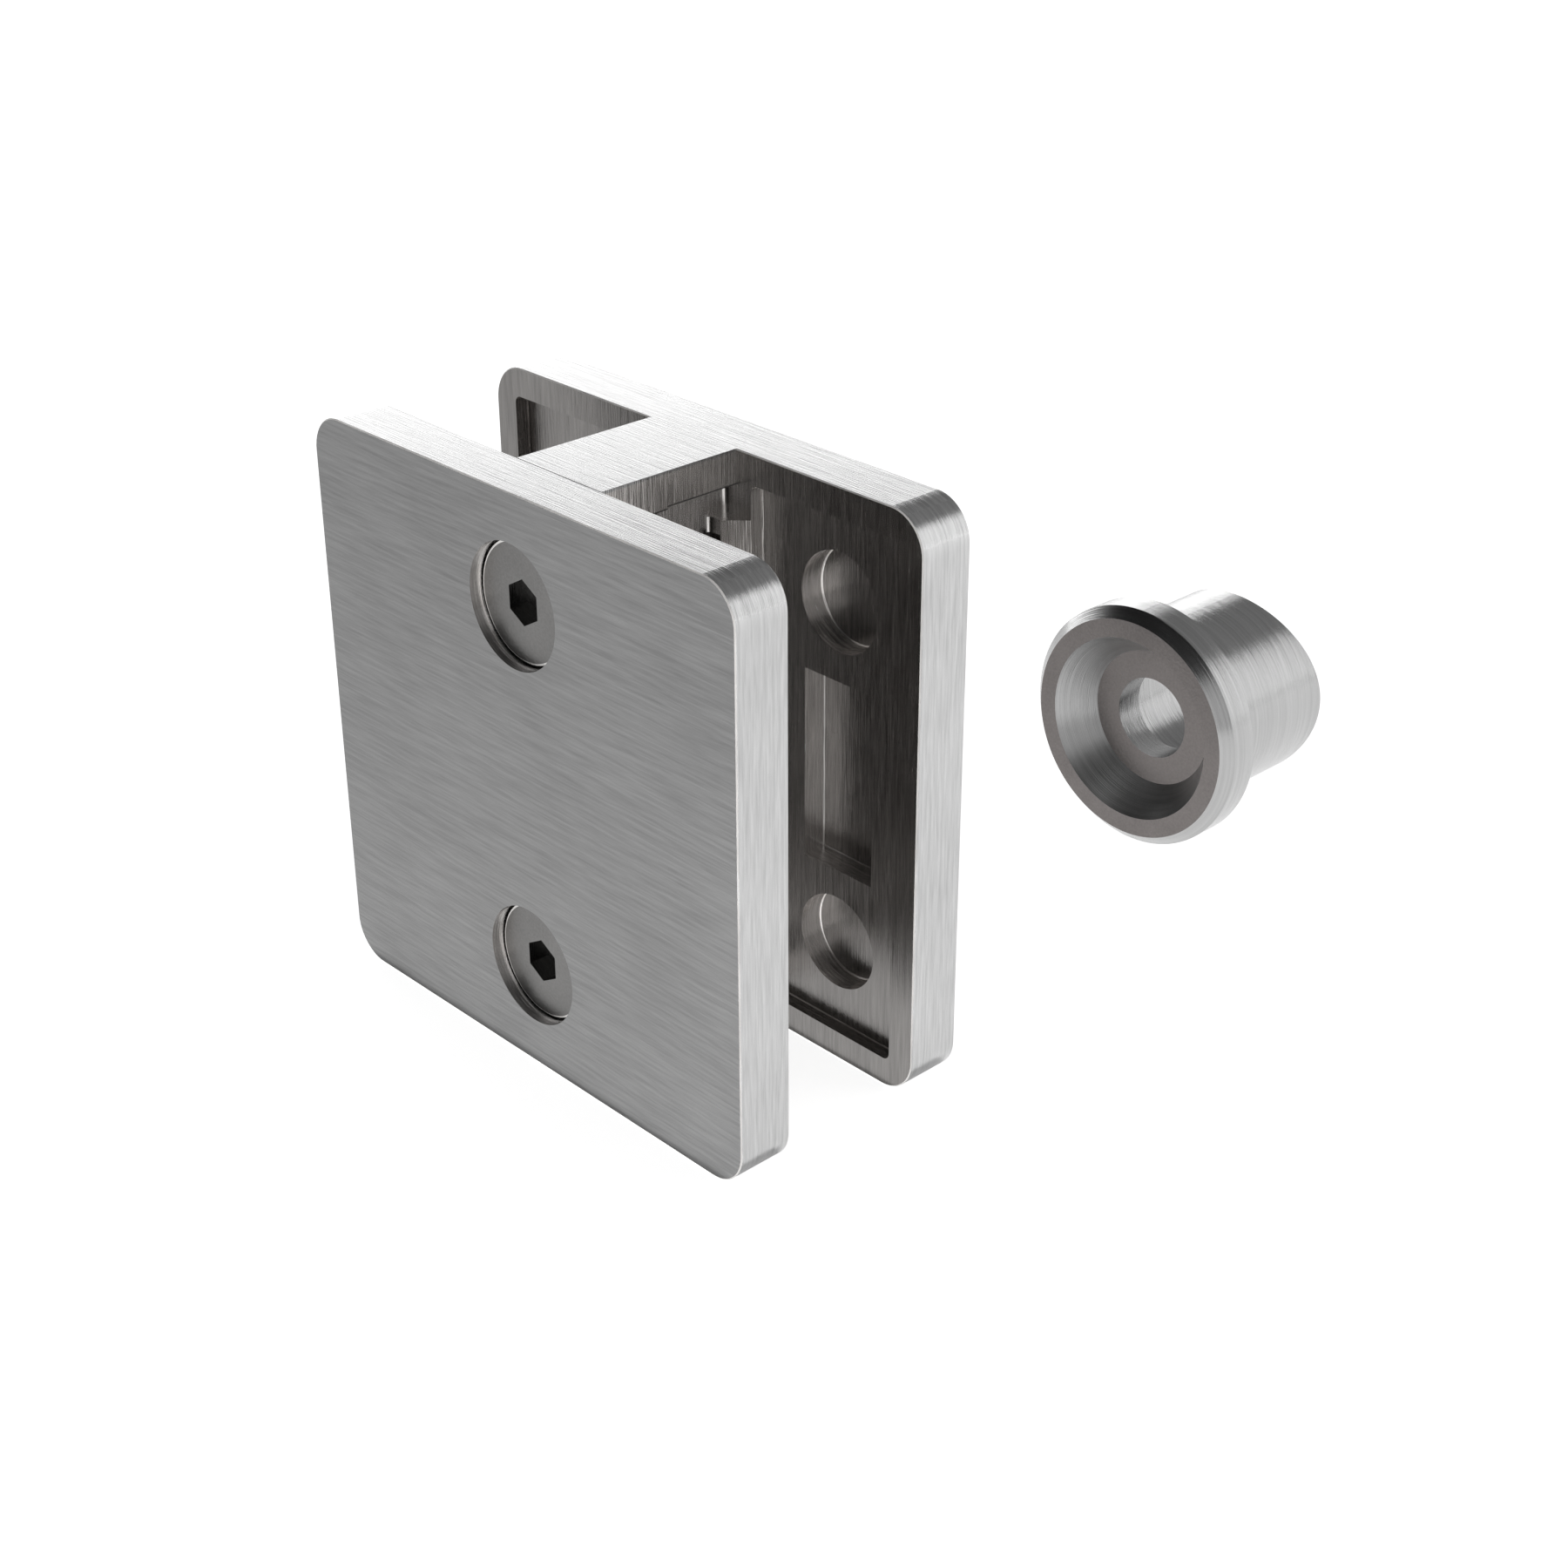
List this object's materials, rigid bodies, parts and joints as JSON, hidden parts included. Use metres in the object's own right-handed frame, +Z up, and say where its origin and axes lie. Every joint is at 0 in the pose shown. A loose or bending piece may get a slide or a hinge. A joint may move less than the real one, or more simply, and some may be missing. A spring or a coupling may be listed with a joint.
{
  "type": "glass panel clamp",
  "caption": "Square stainless clamp that holds glass panes in line on either side of its web, with a screwed front plate and a loose saddle adapter for a round post.",
  "frame": {"origin": "middle of the foot of the web, in the plane that the clamp stands on", "axes": "+X along the glass panes, +Y from the front plate through the rear plate towards the post, +Z up"},
  "size_m": [0.06, 0.0975, 0.06],
  "materials": {
    "plate_steel": "brushed along the panes",
    "screw_steel": "turned satin",
    "adapter_steel": "turned satin"
  },
  "bodies": {
    "frame": {"rear_body": "plate_steel", "tube_adapter": "adapter_steel"},
    "cover": {"front_plate": "plate_steel"},
    "upper_screw": {"screw_upper": "screw_steel"},
    "lower_screw": {"screw_lower": "screw_steel"}
  },
  "joints": [
    {"name": "front_plate_slide", "type": "slide", "parent": "frame", "child": "cover", "axis": [0, -1, 0], "range_m": [0, 0.015]},
    {"name": "screw_upper_turn", "type": "hinge", "parent": "cover", "child": "upper_screw", "pos_m": [0, -0.0127, 0.0489], "axis": [0, -1, 0], "range_deg": [0, 5400]},
    {"name": "screw_lower_turn", "type": "hinge", "parent": "cover", "child": "lower_screw", "pos_m": [0, -0.0127, 0.0111], "axis": [0, -1, 0], "range_deg": [0, 5400]}
  ],
  "couplings": [
    {"joint": "screw_upper_turn", "follows": "front_plate_slide", "rad_per_m": 6283.2},
    {"joint": "screw_lower_turn", "follows": "front_plate_slide", "rad_per_m": 6283.2}
  ]
}
